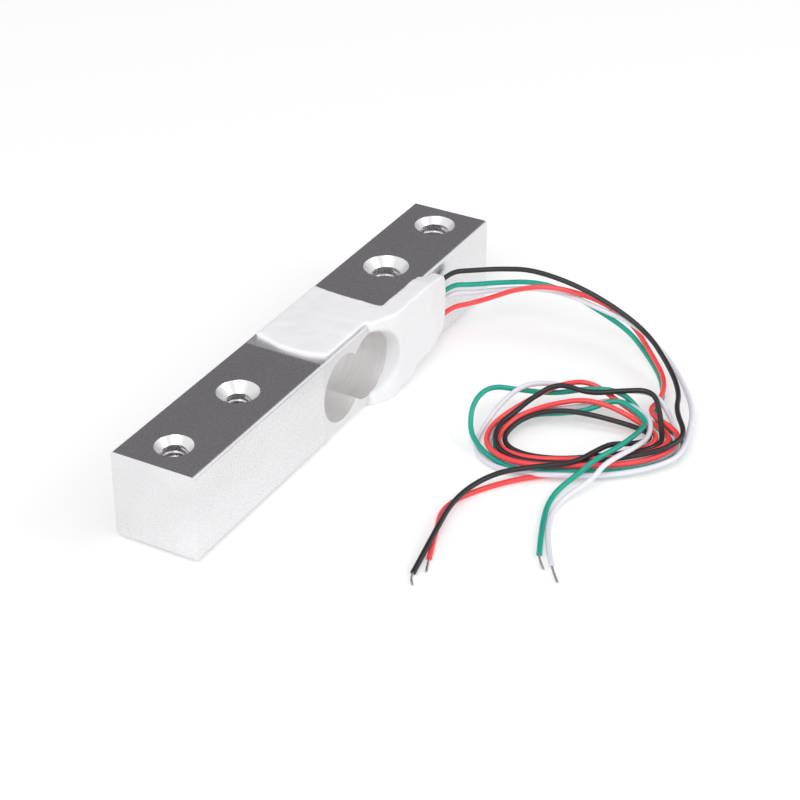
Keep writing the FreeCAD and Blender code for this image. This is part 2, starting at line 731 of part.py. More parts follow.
def make_coil():
    """One closed ring with the outer shape of the bundled turns."""
    body = new_body("CoilBody")
    ring = new_sketch(body, "CoilRing", "XY_Plane", FLOOR_Z)
    flat_centre = V(COIL_CENTRE.x, COIL_CENTRE.y, 0)
    inner_centre = flat_centre + COIL_ACROSS * 1.3
    outer = Part.Ellipse(flat_centre + COIL_ALONG * 15.6, flat_centre + COIL_ACROSS * 11.0, flat_centre)
    inner = Part.Ellipse(inner_centre + COIL_ALONG * 10.6, inner_centre + COIL_ACROSS * 4.6, inner_centre)
    ring.addGeometry(outer, False)
    ring.addGeometry(inner, False)
    solid = pad(body, ring, "CoilPad", cell("coil_height"))
    rims = ["Edge%d" % index for index, edge in enumerate(solid.Shape.Edges, start=1)
            if edge.BoundBox.ZLength < 1e-6]
    bevel = body.newObject("PartDesign::Chamfer", "CoilBevel")
    bevel.Base = (solid, rims)
    bevel.Size = 1.2
    body.Tip = bevel
    doc.recompute()
    return keep("lead_coil", body)


def make_free_wires(coil):
    for name in LEAD_NAMES:
        exit_points = [(size("root_end") + along, LEAD_Y, EXIT_Z[name]) for along in (0, 3.0)]
        lead, lead_length = tube("lead_%s_tube" % name, exit_points + LEAD_ROUTES[name], "lead_diameter")
        keep("lead_" + name, cut("Lead_" + name, lead, [coil]))
        tail_route = TAIL_ROUTES[name]
        tail, tail_length = tube("tail_%s_tube" % name, tail_route, "lead_diameter")
        keep("tail_" + name, cut("Tail_" + name, tail, [coil]))
        tail_end = V(*tail_route[-1])
        onward = tail_end - V(*tail_route[-2])
        onward.normalize()
        bare_route = [tuple(tail_end), tuple(tail_end + onward * 1.1), BARE_ENDS[name]]
        bare, bare_length = tube("bare_%s_tube" % name, bare_route, "strand_diameter")
        keep("bare_end_" + name, bare)
        print("wire %s: lead %.1f, tail %.1f, bare end %.1f mm" % (name, lead_length, tail_length, bare_length))


# --- build, check and write ----------------------------------------------------------------------

bar = make_bar()
films = []
foils = []
for gauge_name, gauge_x, gauge_z, gauge_side in (
        ("top_load", CIRCLE_X[0], GROUND_TOP, 1), ("top_fixed", CIRCLE_X[1], GROUND_TOP, 1),
        ("under_load", CIRCLE_X[0], GROUND_BOTTOM, -1), ("under_fixed", CIRCLE_X[1], GROUND_BOTTOM, -1)):
    gauge_film, gauge_foil = make_gauge(gauge_name, gauge_x, gauge_z, gauge_side)
    films.append(gauge_film)
    foils.append(gauge_foil)
terminal_board, terminal_pads = make_terminals()
fine = make_fine_wires()
lead_roots = make_roots()
solder = make_solder(fine, lead_roots)
make_silicone([[bar], [terminal_board] + films, terminal_pads + foils, solder, fine, lead_roots])
lead_coil = make_coil()
make_free_wires(lead_coil)
doc.recompute()

for item in doc.Objects:
    if "Invalid" in item.State or "Error" in item.State:
        raise RuntimeError(item.Name + " did not build: " + str(item.State))

os.makedirs("parts", exist_ok=True)
for label, item in nodes.items():
    shape = item.Shape
    if shape.isNull() or not shape.isValid() or not shape.Solids:
        raise RuntimeError(label + " is not a valid solid")
    shape.exportStep("parts/" + label + ".step")
    box = shape.BoundBox
    print("%-22s solids %2d volume %10.3f  x %.2f..%.2f y %.2f..%.2f z %.2f..%.2f" %
          (label, len(shape.Solids), shape.Volume, box.XMin, box.XMax, box.YMin, box.YMax, box.ZMin, box.ZMax))
print("%d sub-parts written" % len(nodes))
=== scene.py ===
# %% [markdown]
# # Single point load cell: the looks
#
# A load cell is a small metal bar that bends a little under a weight. Strain gauges on its thin places
# measure the bend, silicone covers them, and four signal wires come out of it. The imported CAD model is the
# frame. This script adds what CAD leaves plain: smooth silicone, threads in the tapped holes, the wires
# with their bundled turns and twisted bare strands, and a procedural material on everything. Lengths are
# metres, in the part's own frame: +X along the bar to the fixed end, +Y away from the wires' side, +Z up.

# %% Load the frame
import bpy
import json
import math
import numpy as np
from mathutils import Matrix, Vector, noise


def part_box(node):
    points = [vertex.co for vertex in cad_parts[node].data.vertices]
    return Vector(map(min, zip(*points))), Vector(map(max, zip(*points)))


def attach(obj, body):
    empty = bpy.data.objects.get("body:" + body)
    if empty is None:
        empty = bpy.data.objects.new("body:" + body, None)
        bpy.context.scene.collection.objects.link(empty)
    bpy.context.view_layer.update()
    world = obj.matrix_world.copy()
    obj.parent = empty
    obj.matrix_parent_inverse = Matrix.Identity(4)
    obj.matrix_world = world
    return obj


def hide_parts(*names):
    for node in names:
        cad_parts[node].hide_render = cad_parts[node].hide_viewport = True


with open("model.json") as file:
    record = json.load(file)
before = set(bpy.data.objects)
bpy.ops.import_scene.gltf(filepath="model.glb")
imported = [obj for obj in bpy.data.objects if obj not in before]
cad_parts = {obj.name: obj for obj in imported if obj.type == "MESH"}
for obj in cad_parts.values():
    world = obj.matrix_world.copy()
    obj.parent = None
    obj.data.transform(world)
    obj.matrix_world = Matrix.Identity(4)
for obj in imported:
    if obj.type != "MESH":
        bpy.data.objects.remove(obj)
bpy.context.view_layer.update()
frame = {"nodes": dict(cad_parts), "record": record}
MM = 0.001
scene = bpy.context.scene
print("CAD nodes:", len(frame["nodes"]))

# %% [markdown]
# ## Measures taken from the frame
#
# Threads have to sit in the bar's tapped holes. Their places could be typed in, but a changed CAD model
# would then leave them behind, so they come from the record's mounts. The bar's size and the height of the
# floor come from two nodes' boxes.

# %% Measures
bar_low, bar_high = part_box("bar_body")
silicone_low, silicone_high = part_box("silicone_coat")
BAR_WIDTH = bar_high[1] - bar_low[1]
BAR_HEIGHT = bar_high[2] - bar_low[2]
LAND_MIDDLE = (bar_low[0] + bar_high[0]) / 2
holes = [m for m in frame["record"]["mounts"] if m["kind"] == "threaded_hole"]
print("bar %.1f x %.1f x %.1f mm, %d tapped holes" % (
    (bar_high[0] - bar_low[0]) / MM, BAR_WIDTH / MM, BAR_HEIGHT / MM, len(holes)))

# %% [markdown]
# ## Materials
#
# The finishes are drawn aluminium, cured silicone, smooth insulation, tinned copper, and the film, foil
# and solder of the gauges. Images wrapped round each piece would need files and an unwrapped mesh, so every
# material is built from noise on object coordinates, which has no seams. `surface` makes most of them: two
# near colours that broad noise blends, and fine noise in the roughness and in a slight bump.

# %% Material helpers
def new_material(name):
    """A new material, with its nodes and links."""
    material = bpy.data.materials.new(name)
    material.use_nodes = True
    return material, material.node_tree.nodes, material.node_tree.links


def mix_colour(nodes, links, factor, first, second):
    """A blend of two colours, each a plain colour or another node's output."""
    mix = nodes.new("ShaderNodeMix")
    mix.data_type = "RGBA"
    links.new(factor, mix.inputs["Factor"])
    for socket, value in ((mix.inputs[6], first), (mix.inputs[7], second)):
        if isinstance(value, bpy.types.NodeSocket):
            links.new(value, socket)
        else:
            socket.default_value = (*value, 1)
    return mix.outputs[2]


def noise_texture(nodes, links, coordinates, scale, detail=3.0, stretch=(1, 1, 1)):
    """Noise on the given coordinates; a stretch below one draws it out along that axis."""
    mapping = nodes.new("ShaderNodeMapping")
    mapping.inputs["Scale"].default_value = stretch
    links.new(coordinates, mapping.inputs["Vector"])
    texture = nodes.new("ShaderNodeTexNoise")
    texture.inputs["Scale"].default_value = scale
    texture.inputs["Detail"].default_value = detail
    links.new(mapping.outputs["Vector"], texture.inputs["Vector"])
    return texture.outputs["Fac"]


def ranged(nodes, links, value, low, high, from_low=0.3, from_high=0.7):
    """A value carried from one range to another, and held inside it."""
    node = nodes.new("ShaderNodeMapRange")
    node.inputs["From Min"].default_value = from_low
    node.inputs["From Max"].default_value = from_high
    node.inputs["To Min"].default_value = low
    node.inputs["To Max"].default_value = high
    links.new(value, node.inputs["Value"])
    return node.outputs["Result"]


def surface(name, colour, second, roughness, scale, metallic=0.0, bump=0.1, stretch=(1, 1, 1), spread=0.08):
    """A material with two near colours, uneven roughness and a fine bump, all from noise."""
    material, nodes, links = new_material(name)
    shader = nodes["Principled BSDF"]
    shader.inputs["Metallic"].default_value = metallic
    place = nodes.new("ShaderNodeTexCoord").outputs["Object"]
    fine = noise_texture(nodes, links, place, scale, 4.0, stretch)
    broad = noise_texture(nodes, links, place, scale / 12, 2.0, stretch)
    blend = ranged(nodes, links, broad, 0.0, 1.0)
    links.new(mix_colour(nodes, links, blend, colour, second), shader.inputs["Base Color"])
    uneven = ranged(nodes, links, fine, roughness - spread, roughness + spread)
    links.new(uneven, shader.inputs["Roughness"])
    relief = nodes.new("ShaderNodeBump")
    relief.inputs["Strength"].default_value = bump
    relief.inputs["Distance"].default_value = 0.02 * MM
    links.new(fine, relief.inputs["Height"])
    links.new(relief.outputs["Normal"], shader.inputs["Normal"])
    return material


# %% [markdown]
# ### The bar
#
# The bar is drawn stock, with fine lines along it and a speckle over them. The band round its middle is
# ground for the gauges and duller, and the walls of its cut-out show faint rings from the tool. Separate
# materials would need faces picked out of the CAD mesh. One material with masks worked out from the
# coordinates does the same. The cut-out's walls get painted light, a paler colour and a very slight glow,
# because the room alone leaves them too dark.

# %% Where the cut-out's walls are
LAND_HALF_LENGTH = 8.7 * MM
LAND_BLEND = 0.1 * MM
CUT_HALF_HEIGHT = 5.1 * MM
FACE_MARGIN = 0.06 * MM
# painted light: the walls glow this much, though they are no lamp
WALL_GLOW = 0.03


def painted_wall_light_mask(nodes, links, place, parts):
    """Nought on the outer faces; on the cut-out's walls about one, uneven in faint tool rings: where painted
    light makes the walls paler and glow.
    """
    def measure(operation, first, second=0.0):
        node = nodes.new("ShaderNodeMath")
        node.operation = operation
        for socket, value in zip(node.inputs, (first, second)):
            if isinstance(value, bpy.types.NodeSocket):
                links.new(value, socket)
            else:
                socket.default_value = value
        return node.outputs[0]
    across = measure("ABSOLUTE", parts.outputs["Y"])
    along = measure("ABSOLUTE", measure("SUBTRACT", parts.outputs["X"], LAND_MIDDLE))
    level = measure("ABSOLUTE", measure("SUBTRACT", parts.outputs["Z"], BAR_HEIGHT / 2))
    inside = measure("LESS_THAN", across, BAR_WIDTH / 2 - FACE_MARGIN)
    inside = measure("MULTIPLY", inside, measure("LESS_THAN", along, LAND_HALF_LENGTH))
    inside = measure("MULTIPLY", inside, measure("LESS_THAN", level, CUT_HALF_HEIGHT))
    tool = ranged(nodes, links, noise_texture(nodes, links, place, 2800, 2.0, (0.05, 1, 0.05)), 0.5, 1.25)
    return measure("MULTIPLY", inside, tool)


# %% The bar's metal
def bar_metal():
    """Drawn aluminium: fine grain along X, a speckle in the roughness, and duller ground lands."""
    material, nodes, links = new_material("drawn_aluminium")
    shader = nodes["Principled BSDF"]
    shader.inputs["Metallic"].default_value = 1.0
    place = nodes.new("ShaderNodeTexCoord").outputs["Object"]
    grain = noise_texture(nodes, links, place, 5200, 3.0, (0.12, 1, 1))
    speckle = noise_texture(nodes, links, place, 3600, 4.0)
    cloud = noise_texture(nodes, links, place, 160, 2.0, (0.4, 1, 1))
    parts = nodes.new("ShaderNodeSeparateXYZ")
    links.new(place, parts.inputs["Vector"])
    from_middle = nodes.new("ShaderNodeMath")
    from_middle.operation = "SUBTRACT"
    links.new(parts.outputs["X"], from_middle.inputs[0])
    from_middle.inputs[1].default_value = LAND_MIDDLE
    distance = nodes.new("ShaderNodeMath")
    distance.operation = "ABSOLUTE"
    links.new(from_middle.outputs[0], distance.inputs[0])
    land_start, land_end = LAND_HALF_LENGTH - LAND_BLEND, LAND_HALF_LENGTH + LAND_BLEND
    land = ranged(nodes, links, distance.outputs[0], 1.0, 0.0, land_start, land_end)
    clouds = ranged(nodes, links, cloud, 0.0, 1.0)
    pale = mix_colour(nodes, links, clouds, (0.80, 0.80, 0.806), (0.85, 0.85, 0.856))
    specks = ranged(nodes, links, speckle, 0.0, 1.0, 0.25, 0.75)
    grit = mix_colour(nodes, links, specks, (0.78, 0.775, 0.78), (0.95, 0.95, 0.955))
    both = nodes.new("ShaderNodeMix")
    both.data_type = "RGBA"
    both.blend_type = "MULTIPLY"
    both.inputs["Factor"].default_value = 0.3
    links.new(pale, both.inputs[6])
    links.new(grit, both.inputs[7])
    # painted light: the cut-out's walls get a paler colour and a faint glow, because the room leaves them too
    # dark
    wall = painted_wall_light_mask(nodes, links, place, parts)
    colour_with_painted_light_walls = mix_colour(nodes, links, wall, both.outputs[2], (0.86, 0.845, 0.84))
    links.new(colour_with_painted_light_walls, shader.inputs["Base Color"])
    links.new(ranged(nodes, links, wall, 0.0, WALL_GLOW, 0.0, 1.0), shader.inputs["Emission Strength"])
    shader.inputs["Emission Color"].default_value = (1.0, 0.985, 0.98, 1)
    rough = nodes.new("ShaderNodeMath")
    rough.operation = "MULTIPLY_ADD"
    links.new(land, rough.inputs[0])
    rough.inputs[1].default_value = 0.2
    links.new(ranged(nodes, links, speckle, 0.25, 0.33), rough.inputs[2])
    links.new(rough.outputs[0], shader.inputs["Roughness"])
    relief = nodes.new("ShaderNodeBump")
    relief.inputs["Strength"].default_value = 0.09
    relief.inputs["Distance"].default_value = 0.01 * MM
    links.new(speckle, relief.inputs["Height"])
    lines = nodes.new("ShaderNodeBump")
    lines.inputs["Strength"].default_value = 0.16
    lines.inputs["Distance"].default_value = 0.01 * MM
    links.new(grain, lines.inputs["Height"])
    links.new(relief.outputs["Normal"], lines.inputs["Normal"])
    links.new(lines.outputs["Normal"], shader.inputs["Normal"])
    return material


# %% [markdown]
# ### The other finishes
#
# Cured silicone lets a little light in, so it has subsurface scattering, where plain white would look like
# chalk. Insulation is smooth and has a clear highlight. The small metal pieces differ only in colour,
# roughness and grain, so `surface` makes them all.

# %% Silicone and insulation
def silicone_material():
    """Cured white silicone: soft sheen, a little light through it, and broad shallow waves."""
    material = surface("white_silicone", (0.80, 0.805, 0.815), (0.84, 0.84, 0.845), 0.42, 900, bump=0.15)
    shader = material.node_tree.nodes["Principled BSDF"]
    shader.inputs["Subsurface Weight"].default_value = 0.25
    shader.inputs["Subsurface Scale"].default_value = 0.6 * MM
    shader.inputs["Subsurface Radius"].default_value = (1.0, 0.9, 0.85)
    return material


def insulation(name, colour, second, roughness=0.32):
    """Smooth coloured insulation."""
    material = surface(name, colour, second, roughness, 1400, bump=0.12, spread=0.06)
    material.node_tree.nodes["Principled BSDF"].inputs["Specular IOR Level"].default_value = 0.5
    return material


# %% Make the materials
WIRE_MATERIALS = {
    "red": insulation("red_insulation", (0.93, 0.055, 0.06), (1.0, 0.085, 0.085)),
    "green": insulation("green_insulation", (0.0, 0.31, 0.222), (0.0, 0.39, 0.28)),
    "black": insulation("black_insulation", (0.013, 0.0125, 0.0145), (0.021, 0.020, 0.023), 0.38),
    "white": insulation("white_insulation", (0.70, 0.69, 0.76), (0.76, 0.75, 0.81)),
}
METAL = bar_metal()
SILICONE = silicone_material()
THREAD_METAL = surface("cut_thread_metal", (0.60, 0.60, 0.60), (0.74, 0.74, 0.74), 0.42, 2600, 1.0, 0.1)
TINNED = surface("tinned_strands", (0.60, 0.57, 0.56), (0.80, 0.77, 0.75), 0.3, 3000, 1.0, 0.2)
FILM = surface("gauge_film", (0.42, 0.20, 0.045), (0.50, 0.26, 0.07), 0.5, 2200)
FOIL = surface("gauge_foil", (0.62, 0.55, 0.42), (0.72, 0.64, 0.50), 0.3, 3000, 1.0)
BOARD = surface("terminal_board", (0.52, 0.46, 0.20), (0.60, 0.53, 0.26), 0.55, 1800, stretch=(1, 1, 6))
PAD = surface("pad_copper", (0.72, 0.34, 0.17), (0.82, 0.42, 0.22), 0.3, 2400, 1.0)
ENAMEL = surface("enamelled_copper", (0.50, 0.14, 0.04), (0.62, 0.20, 0.06), 0.25, 2400, 0.8)
SOLDER = surface("solder", (0.66, 0.66, 0.68), (0.78, 0.78, 0.80), 0.28, 1500, 1.0)
print("materials in the scene:", len(bpy.data.materials))

# %% [markdown]
# ### Materials on the CAD nodes
#
# The bar, gauges, fine wires, terminals and solder stay CAD nodes. What each one is stands at the start of
# its name, so a short list of name beginnings gives every node its material.

# %% Dress the CAD nodes
def node_material(node):
    """The material of a CAD node, by what its name says it is."""
    kinds = [("bar_body", METAL), ("silicone_coat", SILICONE), ("gauge_film", FILM), ("gauge_foil", FOIL),
             ("terminal_board", BOARD), ("terminal_pad", PAD), ("fine_", ENAMEL), ("bare_end", TINNED),
             ("gauge_solder", SOLDER), ("terminal_solder", SOLDER), ("lead_solder", SOLDER)]
    for start, material in kinds:
        if node.startswith(start):
            return material
    return WIRE_MATERIALS.get(node.rsplit("_", 1)[1], WIRE_MATERIALS["red"])


for node, shown in frame["nodes"].items():
    for index in range(len(shown.material_slots)):
        shown.material_slots[index].material = node_material(node)
print("CAD nodes with a material:", sum(len(shown.material_slots) > 0 for shown in frame["nodes"].values()))

# %% [markdown]
# ## Silicone
#
# The real coat is spread on and cures with soft, slightly wavy faces that feather out on the metal. The CAD
# coat has the right outline with firm edges. A bevel would round them but leave it looking moulded, and
# sculpting is handwork. So a copy of it is joined with a slightly narrower copy that reaches into the bar,
# remeshed as one body, smoothed, and gently rippled by noise along its normals.

# %% Helpers for a copied piece
def select_only(shown):
    """Make one object the only one that operators act on."""
    bpy.ops.object.select_all(action="DESELECT")
    shown.hide_set(False)
    shown.select_set(True)
    bpy.context.view_layer.objects.active = shown


def own_copy(source, name):
    """A new piece with a merged copy of a CAD node's mesh, standing at the origin."""
    mesh = source.data.copy()
    mesh.transform(source.matrix_world)
    piece = bpy.data.objects.new(name, mesh)
    scene.collection.objects.link(piece)
    mesh.materials.clear()
    select_only(piece)
    bpy.ops.object.mode_set(mode="EDIT")
    bpy.ops.mesh.select_all(action="SELECT")
    bpy.ops.mesh.remove_doubles(threshold=0.0005 * MM)
    bpy.ops.object.mode_set(mode="OBJECT")
    return piece


def apply_all(piece):
    """Turn every modifier of a piece into plain mesh."""
    select_only(piece)
    for modifier in list(piece.modifiers):
        bpy.ops.object.modifier_apply(modifier=modifier.name)


# %% Two copies joined
INNER_SHARE = 0.93
silicone = own_copy(frame["nodes"]["silicone_coat"], "silicone")
inner = own_copy(frame["nodes"]["silicone_coat"], "silicone_inner")
middle = Vector((0, 0, BAR_HEIGHT / 2))
narrower = Matrix.Diagonal((1, INNER_SHARE, INNER_SHARE, 1))
inner.data.transform(Matrix.Translation(middle) @ narrower @ Matrix.Translation(-middle))
select_only(silicone)
inner.select_set(True)
bpy.ops.object.join()
print("silicone corners before remeshing:", len(silicone.data.vertices))

# %% One smooth, rippled body
VOXEL = 0.2 * MM
WAVE = 0.07
RIPPLE = 0.02
remesh = silicone.modifiers.new("one_body", "REMESH")
remesh.mode = "VOXEL"
remesh.voxel_size = VOXEL
soften = silicone.modifiers.new("soften", "SMOOTH")
soften.factor = 0.5
soften.iterations = 10
apply_all(silicone)
for vertex in silicone.data.vertices:
    wave = noise.noise(vertex.co / (2.2 * MM)) * WAVE + noise.noise(vertex.co / (0.8 * MM)) * RIPPLE
    vertex.co += vertex.normal * wave * MM
silicone.data.materials.append(SILICONE)
for face in silicone.data.polygons:
    face.use_smooth = True
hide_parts("silicone_coat")
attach(silicone, "root")
print("silicone faces:", len(silicone.data.polygons))

# %% [markdown]
# ## Threads
#
# CAD leaves each tapped hole a plain bore. A tap cuts grooves into the wall, but the CAD bar stays as it
# is, so one low helical ridge stands on the wall instead. Bump alone would not be part of the mesh. A
# small profile is turned along the bore by a screw modifier, and the ridge's two open ends are closed.

# %% One thread
def thread(name, centre, radius, length, pitch):
    """A ridge along a bore that stands upright, centred on the middle of its length."""
    mesh = bpy.data.meshes.new(name)
    crest = 0.16 * MM
    root = 0.03 * MM
    half = 0.42 * pitch
    flat = 0.05 * pitch
    profile = [(radius + root, 0, -half), (radius - crest, 0, -flat), (radius - crest, 0, flat),
               (radius + root, 0, half)]
    mesh.from_pydata(profile, [(0, 1), (1, 2), (2, 3), (3, 0)], [])
    piece = bpy.data.objects.new(name, mesh)
    scene.collection.objects.link(piece)
    turns = math.floor((length - 2 * half) / pitch)
    mesh.transform(Matrix.Translation((0, 0, -turns * pitch / 2)))
    screw = piece.modifiers.new("helix", "SCREW")
    screw.screw_offset = pitch
    screw.iterations = turns
    screw.steps = 40
    screw.render_steps = 40
    screw.use_merge_vertices = True
    screw.merge_threshold = 0.001 * MM
    apply_all(piece)
    bpy.ops.object.mode_set(mode="EDIT")
    bpy.ops.mesh.select_all(action="SELECT")
    bpy.ops.mesh.select_non_manifold()
    bpy.ops.mesh.edge_face_add()
    bpy.ops.mesh.select_all(action="SELECT")
    bpy.ops.mesh.normals_make_consistent(inside=False)
    bpy.ops.object.mode_set(mode="OBJECT")
    piece.data.transform(Matrix.Translation(centre))
    piece.data.materials.append(THREAD_METAL)
    for face in piece.data.polygons:
        face.use_smooth = True
    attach(piece, "root")
    return piece


# %% Threads in the tapped holes
THREADS = {1.65: 0.7, 2.1: 0.8}  # drill radius to pitch, mm
for hole in holes:
    drill = hole["dims"]["r_mm"]
    length = hole["dims"]["length_mm"] * MM
    made = thread("thread_" + hole["name"], Vector(hole["pos_m"]), drill * MM, length, THREADS[drill] * MM)
    print(made.name, "faces", len(made.data.polygons))

# %% [markdown]
# ## Signal wires
#
# Four thin wires leave the silicone, come down to the table, lie in a loose bundle and end bare. The CAD
# model shows the bundle as one plain coil. A simulation could drop the wires, but small changes would lay
# them another way. Here each wire is one curve from the silicone to its bare end: a lead and a tail whose
# points are those of the CAD source, and between them turns that a loop makes. Route points, and distances
# between them, are millimetres here, and become metres when a curve is built.

# %% Routes
WIRE_DIAMETER = 0.75 * MM
FLOOR_Z = silicone_low[2]
EXIT_X = -3.4
EXIT_Y = -7.1
EXIT_Z = {"black": 10.3, "green": 8.1, "white": 6.8, "red": 4.3}
LEADS = {
    "black": [(2.1, -9.0, 9.8), (3.7, -13.0, 10.4), (4.8, -18.4, 11.1), (5.3, -27.0, 9.6),
              (5.6, -35.8, 5.6), (0.8, -41.9, 3.4), (-4.2, -45.6, 2.8), (-8.8, -46.9, 2.8)],
    "green": [(2.1, -9.0, 7.4), (4.8, -12.4, 7.4), (7.5, -17.1, 7.5), (7.7, -21.9, 7.2),
              (7.1, -28.0, 5.6), (7.5, -32.7, 3.3), (4.9, -36.8, 1.7), (1.2, -40.7, 0.8),
              (-3.6, -43.0, 0.3), (-8.6, -43.2, 0.3)],
    "white": [(2.1, -9.3, 6.1), (5.6, -13.1, 6.1), (7.1, -18.1, 6.8), (5.7, -23.7, 7.8),
              (4.8, -28.9, 7.4), (6.0, -33.8, 5.7), (5.3, -37.6, 3.9), (3.1, -41.3, 2.6),
              (-0.6, -45.0, 1.6), (-5.4, -48.2, 1.4), (-10.4, -49.8, 1.4)],
    "red": [(1.9, -9.1, 4.3), (2.8, -12.3, 5.8), (2.4, -16.3, 8.4), (3.8, -20.4, 9.4),
            (5.2, -24.6, 8.9), (7.7, -28.4, 6.8), (8.8, -32.6, 4.0), (4.0, -37.8, 2.6),
            (-0.3, -41.8, 1.9), (-5.4, -43.4, 1.7), (-9.4, -42.8, 1.7)],
}
TAILS = {
    "black": [(-29.6, -35.6, 1.9), (-33.2, -30.8, 1.4), (-40.4, -28.8, 1.1), (-49.0, -30.3, 0.95),
              (-56.3, -31.3, -0.1)],
    "red": [(-28.8, -36.0, 0.2), (-33.6, -31.2, -0.1), (-41.0, -27.4, -0.1), (-47.6, -29.8, -0.1),
            (-52.6, -31.6, -0.1)],
    "green": [(-27.4, -41.0, 1.4), (-32.2, -39.0, -0.1), (-39.0, -40.9, -0.1), (-45.0, -43.5, -0.1)],
    "white": [(-28.0, -43.2, 1.4), (-33.6, -40.4, -0.1), (-40.6, -42.2, -0.1), (-46.5, -46.0, -0.1)],
}
BARE_TIPS = {"black": (-58.3, -32.3, -0.34), "red": (-55.0, -32.5, -0.34), "green": (-47.4, -45.3, -0.34),
             "white": (-49.0, -48.0, -0.34)}
print("lead points:", sum(len(lead) for lead in LEADS.values()))

# %% [markdown]
# ### Turns
#
# The real bundle is loose: about two turns of each wire, roughly oval, with some turns standing up in arches.
# Dozens of points typed by hand could follow it, but would be hard to change. So an angle goes round an
# oval, and each turn lies inside the last by SPIRAL. LANES sets the wires beside one another, and BUMPS
# makes the arches.

# %% The oval
OVAL_CENTRE = Vector((-19.0, -37.0))
OVAL_ALONG = Vector((0.483, -0.876))
OVAL_ACROSS = Vector((0.876, 0.483))
HALF_ALONG = 13.1
HALF_ACROSS = 7.8


def oval_place(along, across, z):
    """A point from its distances along and across the oval, and its height."""
    flat = OVAL_CENTRE + OVAL_ALONG * along + OVAL_ACROSS * across
    return (flat.x, flat.y, z)


def oval_reading(point):
    """A point's angle on the oval, and how far outside the middle line it lies."""
    flat = Vector(point[:2]) - OVAL_CENTRE
    along = flat.dot(OVAL_ALONG)
    across = flat.dot(OVAL_ACROSS)
    angle = math.atan2(across / HALF_ACROSS, along / HALF_ALONG)
    line = math.hypot(HALF_ALONG * math.cos(angle), HALF_ACROSS * math.sin(angle))
    return angle, math.hypot(along, across) - line


for name, lead in LEADS.items():
    angle, outward = oval_reading(lead[-1])
    print("%s joins at %.0f degrees, %.1f mm outside the oval" % (name, math.degrees(angle), outward))

# %% Lanes and arches
STEP = math.radians(18)
SPIRAL = 1.7  # how far inward each turn goes
JOIN_ANGLE = math.radians(44)
LOWEST = -0.1
# round this angle the oval's back bulges outward and up; its spread is in degrees
BACK_ANGLE = math.radians(110)
BACK_SPREAD = 45
BACK_OUT = 1.5
BACK_UP = 1.0
# over how many points a wire comes onto the oval from its lead, and leaves it
JOIN_POINTS = 6
LEAVE_POINTS = 3
# each wire's place in the bundle where it joins it: outward from the oval's middle line, and height
LANES = {"white": (2.0, 0.0), "green": (1.15, 0.0), "red": (0.7, 0.85), "black": (-0.15, 0.85)}
# arches of each wire: (degrees turned, spread in degrees, outward, upward)
BUMPS = {
    "green": [(144, 22, 0.0, 0.6), (262, 42, 3.2, 0.0), (262, 26, 0.0, 4.0), (330, 24, 1.2, 2.9),
              (504, 22, 0.0, 0.6), (672, 17, -1.4, 0.3), (706, 20, 1.7, 4.4)],
    "white": [(113, 22, 0.0, 0.6), (256, 26, 1.2, 2.8), (318, 24, 2.4, 3.4), (473, 22, 0.0, 0.6),
              (634, 17, -1.2, 0.3), (668, 20, 2.6, 2.8)],
    "red": [(140, 30, 0.0, 0.5), (320, 26, 2.6, 2.2), (500, 30, 0.0, 0.5), (690, 30, 0.9, 1.2)],
    "black": [(210, 22, -0.6, 0.7), (288, 20, 1.4, 2.8), (338, 20, 4.2, 3.0), (828, 26, 0.0, 0.5)],
}
# over how many points a wire comes down from its lead, and goes to the height of its tail
SETTLE = {"green": 4, "white": 7, "red": 6, "black": 8}
LIFT = {"green": 6, "white": 6, "red": 6, "black": 8}
# two wires leave the oval at this angle and cross the bundle: points along it, across it and up
CROSSING_ANGLE = math.radians(12)
CROSSING_Z = 1.8
TURNS_TO_CROSSING = 2.1
CROSSING = {
    "green": [(8.4, -0.2, 2.2), (4.6, -6.2, 3.3), (1.4, -9.0, 3.3)],
    "white": [(9.4, -1.4, 1.6), (6.6, -6.0, 3.0), (2.6, -9.8, 3.2)],
    "red": [],
    "black": [],
}

# %% Turns of the bundle
def eased(value):
    """From nought to one, slow at both ends."""
    value = min(max(value, 0.0), 1.0)
    return value * value * (3 - 2 * value)


def turns(name):
    """The points of one wire's turns, from its lead's last point to its tail's first."""
    start = LEADS[name][-1]
    start_angle, start_out = oval_reading(start)
    if CROSSING[name]:
        end_angle = CROSSING_ANGLE - 4 * math.pi
        end_out, end_z = LANES[name][0] - TURNS_TO_CROSSING * SPIRAL, CROSSING_Z
    else:
        end_angle, end_out = oval_reading(TAILS[name][0])
        end_angle -= 4 * math.pi
        end_z = TAILS[name][0][2]
    count = round((start_angle - end_angle) / STEP)
    made = []
    for index in range(2, count):
        share = index / count
        angle = start_angle + (end_angle - start_angle) * share
        turned = start_angle - angle
        out = LANES[name][0] - SPIRAL * (JOIN_ANGLE - angle) / (2 * math.pi)
        out += 0.5 * math.sin(2 * angle + 0.6) + 0.25 * math.sin(3 * angle + 2.0)
        z = LANES[name][1]
        off_back = math.degrees(math.acos(math.cos(angle - BACK_ANGLE)))
        back = math.exp(-(off_back / BACK_SPREAD) ** 2)
        out += BACK_OUT * back
        z += BACK_UP * back
        for at, spread, outward, upward in BUMPS[name]:
            weight = math.exp(-((math.degrees(turned) - at) / spread) ** 2)
            out += outward * weight
            z += upward * weight
        near_start = 1 - eased(index / JOIN_POINTS)
        near_end = 1 - eased((count - index) / LEAVE_POINTS)
        out += (start_out - out) * near_start
        z += (start[2] - z) * (1 - eased(index / SETTLE[name]))
        out += (end_out - out) * near_end
        z += (end_z - z) * (1 - eased((count - index) / LIFT[name]))
        made.append(oval_place((HALF_ALONG + out) * math.cos(angle), (HALF_ACROSS + out) * math.sin(angle),
                               max(z, LOWEST)))
    return made + [oval_place(*place) for place in CROSSING[name]]


print("points in the turns:", {name: len(turns(name)) for name in LEADS})

